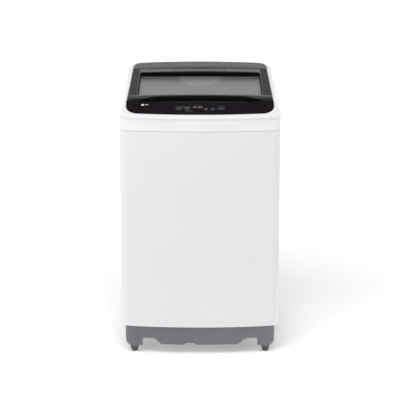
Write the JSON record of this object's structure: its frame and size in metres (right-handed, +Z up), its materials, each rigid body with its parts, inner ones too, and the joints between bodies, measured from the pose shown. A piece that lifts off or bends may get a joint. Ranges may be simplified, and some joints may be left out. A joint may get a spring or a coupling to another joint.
{
  "type": "top load washing machine",
  "caption": "Freestanding top load washing machine: white cabinet, sloping black lid with smoked window, bowed control panel, hanging tub, drum and direct drive.",
  "frame": {"origin": "on the floor under the middle of the cabinet's outline", "axes": "+Z up, -Y towards the front with the control panel, +X to the right for someone facing the front"},
  "size_m": [0.54, 0.54, 0.9245],
  "materials": {
    "base_grey": "satin moulded plastic",
    "white_steel": "gloss enamel",
    "galvanised": "galvanised sheet",
    "zinc_steel": "zinc plated",
    "black_rubber": "matte",
    "white_plastic": "semi gloss",
    "black_gloss": "high gloss",
    "smoked_lens": "gloss, smoked",
    "black_plastic": "satin",
    "grey_plastic": "satin",
    "circuit_board": "solder mask",
    "charcoal_plastic": "fine texture",
    "smoked_glass": "smoked, gloss",
    "magnet": "sintered",
    "drawer_blue": "satin",
    "tub_plastic": "satin",
    "cast_alloy": "as cast",
    "bearing_steel": "ground",
    "lamination": "varnished",
    "copper_wire": "enamelled copper",
    "spring_steel": "oiled",
    "stainless": "perforated stainless",
    "ring_plastic": "semi gloss",
    "shaft_steel": "turned",
    "filter_plastic": "satin",
    "pulsator_plastic": "semi gloss",
    "key_black": "gloss",
    "foot_rubber": "matte"
  },
  "bodies": {
    "machine": {"base_frame": "base_grey", "cabinet": "white_steel", "back_panel": "galvanised", "back_screws": "zinc_steel", "cable_gland": "black_rubber", "top_cover": "white_plastic", "control_panel": "black_gloss", "display_window": "smoked_lens", "grip_liner": "black_plastic", "control_housing": "grey_plastic", "control_board": "circuit_board", "reed_switch": "black_plastic", "hinge_ears": "zinc_steel", "rear_cover": "charcoal_plastic", "drawer_housing": "grey_plastic", "inlet_valve": "grey_plastic", "inlet_hose": "black_rubber", "corner_brackets": "galvanised", "hanging_rods": "zinc_steel", "drain_outlet": "grey_plastic", "level_sensor": "grey_plastic"},
    "lid": {"lid_frame": "charcoal_plastic", "lid_window": "smoked_glass", "lid_inner_frame": "charcoal_plastic", "lid_bumpers": "black_rubber", "lid_magnet": "magnet", "hinge_pins": "zinc_steel"},
    "drawer": {"detergent_drawer": "drawer_blue"},
    "tub": {"outer_tub": "tub_plastic", "tub_cover": "tub_plastic", "bearing_housing": "cast_alloy", "bearings": "bearing_steel", "shaft_seal": "black_rubber", "stator_core": "lamination", "stator_coils": "copper_wire", "drain_valve": "grey_plastic", "drain_hose": "black_rubber", "hanging_cups": "black_plastic", "hanging_springs": "spring_steel"},
    "basket": {"drum": "stainless", "drum_base": "tub_plastic", "balance_ring": "ring_plastic", "drum_flange": "cast_alloy", "spin_tube": "shaft_steel", "lint_filters": "filter_plastic"},
    "agitator": {"pulsator": "pulsator_plastic", "pulsator_cap": "grey_plastic", "drive_shaft": "shaft_steel", "rotor": "galvanised", "rotor_magnets": "magnet"},
    "clutch": {"clutch_slider": "black_plastic"},
    "power_button_key": {"power_button": "key_black"},
    "program_button_key": {"program_button": "key_black"},
    "spin_button_key": {"spin_button": "key_black"},
    "water_level_button_key": {"water_level_button": "key_black"},
    "start_pause_button_key": {"start_pause_button": "key_black"},
    "foot_front_left_turn": {"foot_front_left": "foot_rubber"},
    "foot_front_right_turn": {"foot_front_right": "foot_rubber"},
    "foot_rear_left_turn": {"foot_rear_left": "foot_rubber"},
    "foot_rear_right_turn": {"foot_rear_right": "foot_rubber"}
  },
  "joints": [
    {"name": "lid_hinge", "type": "hinge", "parent": "machine", "child": "lid", "pos_m": [0, 0.178, 0.897], "axis": [-1, 0, 0], "range_deg": [0, 100]},
    {"name": "drawer_slide", "type": "slide", "parent": "machine", "child": "drawer", "axis": [0, -1, 0], "range_m": [0, 0.08]},
    {"name": "tub_bounce", "type": "slide", "parent": "machine", "child": "tub", "axis": [0, 0, 1], "range_m": [-0.02, 0.01], "stiffness_N_per_m": 9000, "springref_m": 0.02775, "deforming": ["hanging_springs", "drain_hose"]},
    {"name": "basket_spin", "type": "hinge", "parent": "tub", "child": "basket", "pos_m": [0, 0, 0.25], "axis": [0, 0, 1], "continuous": true},
    {"name": "agitator_spin", "type": "hinge", "parent": "basket", "child": "agitator", "pos_m": [0, 0, 0.25], "axis": [0, 0, 1], "continuous": true},
    {"name": "clutch_shift", "type": "slide", "parent": "basket", "child": "clutch", "axis": [0, 0, -1], "range_m": [0, 0.008]},
    {"name": "power_button_press", "type": "slide", "parent": "machine", "child": "power_button_key", "axis": [0, 0.3511, -0.9363], "range_m": [0, 0.001], "stiffness_N_per_m": 600, "springref_m": -0.0012},
    {"name": "program_button_press", "type": "slide", "parent": "machine", "child": "program_button_key", "axis": [0, 0.3511, -0.9363], "range_m": [0, 0.001], "stiffness_N_per_m": 600, "springref_m": -0.0012},
    {"name": "spin_button_press", "type": "slide", "parent": "machine", "child": "spin_button_key", "axis": [0, 0.3511, -0.9363], "range_m": [0, 0.001], "stiffness_N_per_m": 600, "springref_m": -0.0012},
    {"name": "water_level_button_press", "type": "slide", "parent": "machine", "child": "water_level_button_key", "axis": [0, 0.3511, -0.9363], "range_m": [0, 0.001], "stiffness_N_per_m": 600, "springref_m": -0.0012},
    {"name": "start_pause_button_press", "type": "slide", "parent": "machine", "child": "start_pause_button_key", "axis": [0, 0.3511, -0.9363], "range_m": [0, 0.001], "stiffness_N_per_m": 600, "springref_m": -0.0012},
    {"name": "foot_front_left_screw", "type": "hinge", "parent": "machine", "child": "foot_front_left_turn", "pos_m": [-0.227, -0.217, 0.03], "axis": [0, 0, 1], "continuous": true},
    {"name": "foot_front_right_screw", "type": "hinge", "parent": "machine", "child": "foot_front_right_turn", "pos_m": [0.227, -0.217, 0.03], "axis": [0, 0, 1], "continuous": true},
    {"name": "foot_rear_left_screw", "type": "hinge", "parent": "machine", "child": "foot_rear_left_turn", "pos_m": [-0.227, 0.217, 0.03], "axis": [0, 0, 1], "continuous": true},
    {"name": "foot_rear_right_screw", "type": "hinge", "parent": "machine", "child": "foot_rear_right_turn", "pos_m": [0.227, 0.217, 0.03], "axis": [0, 0, 1], "continuous": true}
  ]
}
